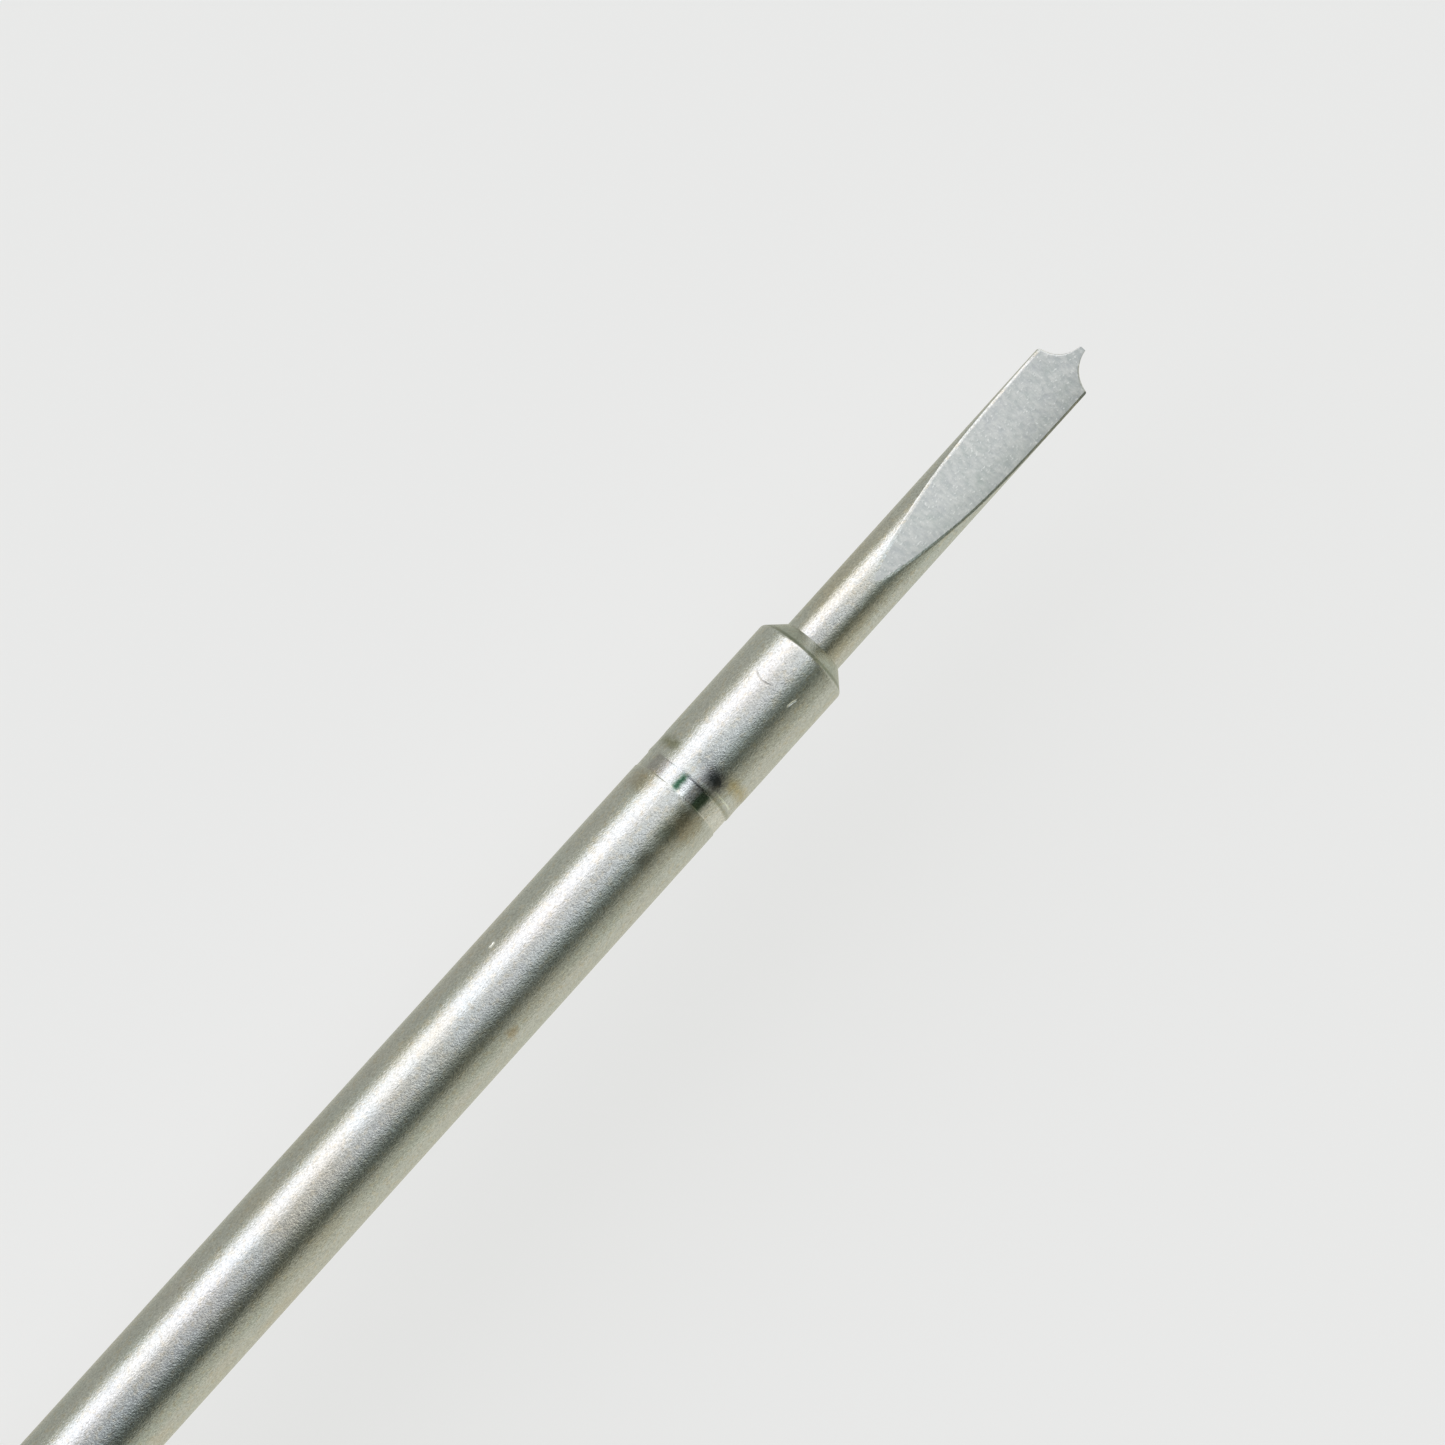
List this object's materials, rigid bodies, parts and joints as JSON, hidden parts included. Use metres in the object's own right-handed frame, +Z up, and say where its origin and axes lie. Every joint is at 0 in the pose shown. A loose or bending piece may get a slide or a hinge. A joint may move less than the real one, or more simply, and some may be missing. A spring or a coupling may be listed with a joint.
{
  "type": "watchmaker screwdriver",
  "caption": "Slim watchmaker's screwdriver with a scalloped pilot-point blade, a hexagonal collar, a knurled grip and a free-spinning bearing head.",
  "frame": {"origin": "end of the blade's pilot point, on the tool's axis", "axes": "+X along the tool from the blade to the swivel head, +Z up out of the collar flat that holds the set screws, with the tool lying on the opposite flat"},
  "size_m": [0.105, 0.0098, 0.009],
  "materials": {
    "blade_steel": "fine matte ground flats, satin rod",
    "satin_nickel": "satin nickel plate with fine grain",
    "collar_nickel": "satin nickel plate",
    "black_screw": "black oxide",
    "grip_anodised": "black anodised, straight knurl",
    "rubber": "matte",
    "size_colour": "violet anodised",
    "bearing_steel": "polished",
    "cage_brass": "polished",
    "spring_steel": "hardened",
    "head_anodised": "satin natural anodised, straight knurl"
  },
  "bodies": {
    "handle": {"chuck_collar": "collar_nickel", "handle_core": "collar_nickel", "grip_sleeve": "grip_anodised", "grip_rings": "rubber", "colour_ring": "size_colour", "bearing_spacer": "bearing_steel", "bearing_inner_ring": "bearing_steel", "pivot_screw": "black_screw"},
    "blade_unit": {"blade": "blade_steel", "shank": "satin_nickel"},
    "front_set_screw": {"set_screw_front": "black_screw"},
    "rear_set_screw": {"set_screw_rear": "black_screw"},
    "swivel_head": {"head_shell": "head_anodised", "finger_disc": "size_colour", "disc_seal": "rubber", "bearing_outer_ring": "bearing_steel", "bearing_shield_front": "bearing_steel", "bearing_shield_rear": "bearing_steel", "bearing_retainer": "spring_steel"},
    "ball_cage": {"bearing_balls": "bearing_steel", "bearing_cage": "cage_brass"}
  },
  "joints": [
    {"name": "head_spin", "type": "hinge", "parent": "handle", "child": "swivel_head", "pos_m": [0.09645, 0, 0], "axis": [1, 0, 0], "continuous": true},
    {"name": "cage_spin", "type": "hinge", "parent": "handle", "child": "ball_cage", "pos_m": [0.09645, 0, 0], "axis": [1, 0, 0], "continuous": true},
    {"name": "blade_slide", "type": "slide", "parent": "handle", "child": "blade_unit", "axis": [-1, 0, 0], "range_m": [0, 0.018]},
    {"name": "front_screw_lift", "type": "slide", "parent": "handle", "child": "front_set_screw", "axis": [0, 0, 1], "range_m": [0, 0.0007]},
    {"name": "rear_screw_lift", "type": "slide", "parent": "handle", "child": "rear_set_screw", "axis": [0, 0, 1], "range_m": [0, 0.0007]}
  ],
  "couplings": [
    {"joint": "cage_spin", "follows": "head_spin", "ratio": 0.6114}
  ]
}
